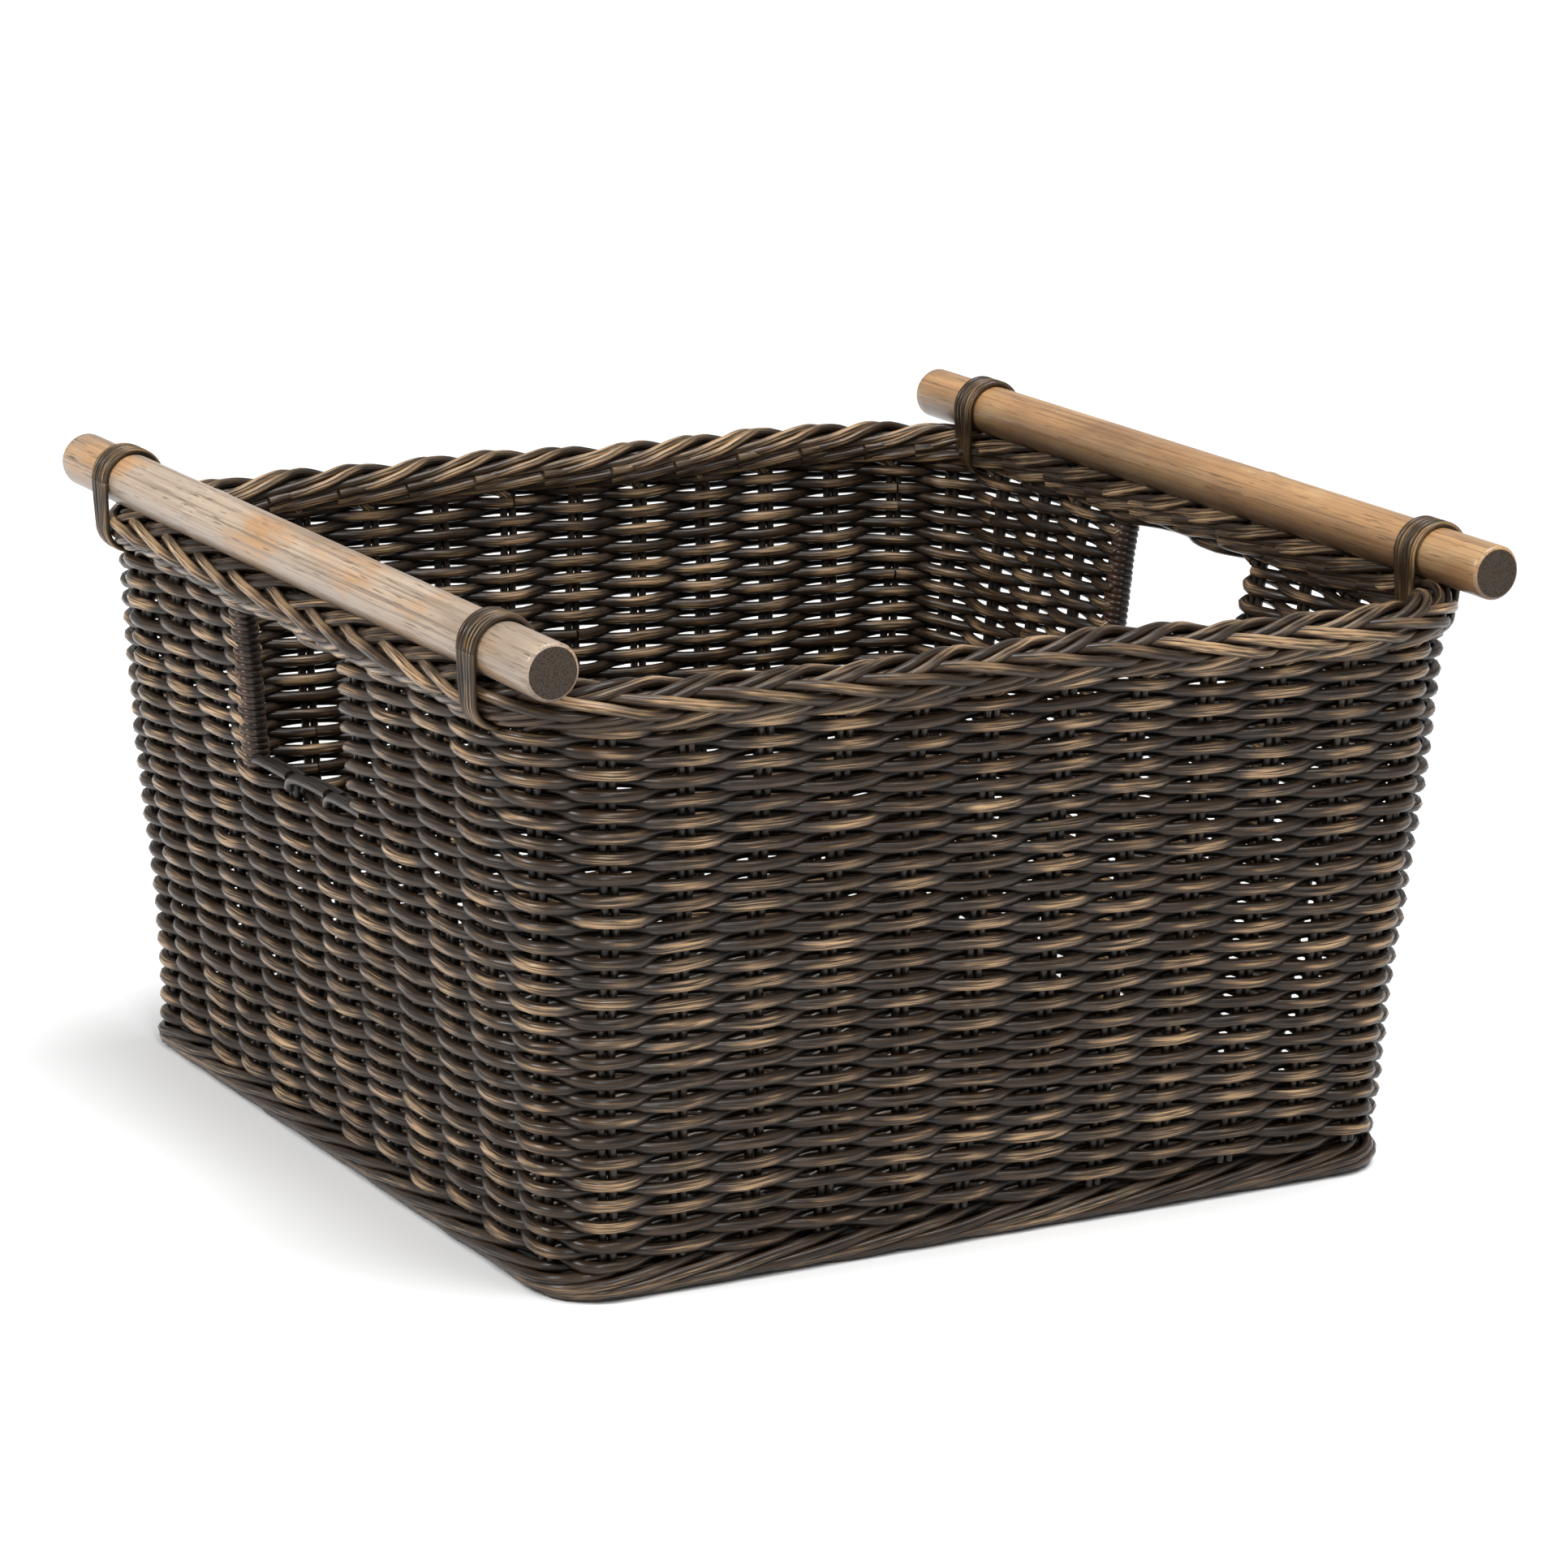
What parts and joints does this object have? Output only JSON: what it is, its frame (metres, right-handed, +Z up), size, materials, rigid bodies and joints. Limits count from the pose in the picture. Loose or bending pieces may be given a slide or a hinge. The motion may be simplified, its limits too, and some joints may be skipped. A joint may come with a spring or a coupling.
{
  "type": "wicker log basket",
  "caption": "Square woven wicker log basket with flared walls, a plaited border, hand holes and lashed rattan pole handles.",
  "frame": {"origin": "middle of the basket's footprint on the floor, halfway between the two pole handles", "axes": "+Z up, X from the left pole handle to the right one, Y along the poles with the front wall facing -Y"},
  "size_m": [0.5252, 0.485, 0.3069],
  "materials": {
    "woven_rattan": "dark walnut stain, worn on the crests, satin lacquer",
    "stake_rattan": "dark walnut stain, satin lacquer",
    "border_rattan": "dark walnut stain with fibre streaks, satin lacquer",
    "base_rattan": "dark walnut stain, dull",
    "grey_pole": "weathered grey-beige rattan pole, clear satin",
    "brown_pole": "honey brown rattan pole, clear satin",
    "lashing_cane": "olive brown split cane, satin"
  },
  "bodies": {
    "root": {"base_mat": "base_rattan", "foot_border": "border_rattan", "left_back_lashing": "lashing_cane", "left_front_lashing": "lashing_cane", "left_hole_sill": "stake_rattan", "left_jamb_binding": "woven_rattan", "left_pole_handle": "grey_pole", "lower_weave": "woven_rattan", "right_back_lashing": "lashing_cane", "right_front_lashing": "lashing_cane", "right_hole_sill": "stake_rattan", "right_jamb_binding": "woven_rattan", "right_pole_handle": "brown_pole", "stake_pair_02": "stake_rattan", "stake_pair_03": "stake_rattan", "stake_pair_04": "stake_rattan", "stake_pair_05": "stake_rattan", "stake_pair_06": "stake_rattan", "stake_pair_07": "stake_rattan", "stake_pair_08": "stake_rattan", "stake_pair_09": "stake_rattan", "stake_pair_10": "stake_rattan", "stake_pair_11": "stake_rattan", "stake_pair_12": "stake_rattan", "stake_pair_13": "stake_rattan", "stake_pair_14": "stake_rattan", "stake_pair_15": "stake_rattan", "stake_pair_16": "stake_rattan", "stake_pair_17": "stake_rattan", "stake_pair_18": "stake_rattan", "stake_pair_19": "stake_rattan", "stake_pair_20": "stake_rattan", "stake_pair_21": "stake_rattan", "stake_pair_22": "stake_rattan", "stake_pair_23": "stake_rattan", "stake_pair_26": "stake_rattan", "stake_pair_27": "stake_rattan", "stake_pair_28": "stake_rattan", "stake_pair_29": "stake_rattan", "stake_pair_30": "stake_rattan", "stake_pair_31": "stake_rattan", "stake_pair_32": "stake_rattan", "stake_pair_33": "stake_rattan", "stake_pair_34": "stake_rattan", "stake_pair_35": "stake_rattan", "stake_pair_36": "stake_rattan", "stake_pair_37": "stake_rattan", "stake_pair_38": "stake_rattan", "stake_pair_39": "stake_rattan", "stake_pair_40": "stake_rattan", "stake_pair_41": "stake_rattan", "stake_pair_42": "stake_rattan", "stake_pair_43": "stake_rattan", "stake_pair_44": "stake_rattan", "stake_pair_45": "stake_rattan", "stake_pair_46": "stake_rattan", "stake_pair_47": "stake_rattan", "top_border": "border_rattan", "upper_weave_back": "woven_rattan", "upper_weave_front": "woven_rattan"}
  },
  "joints": []
}
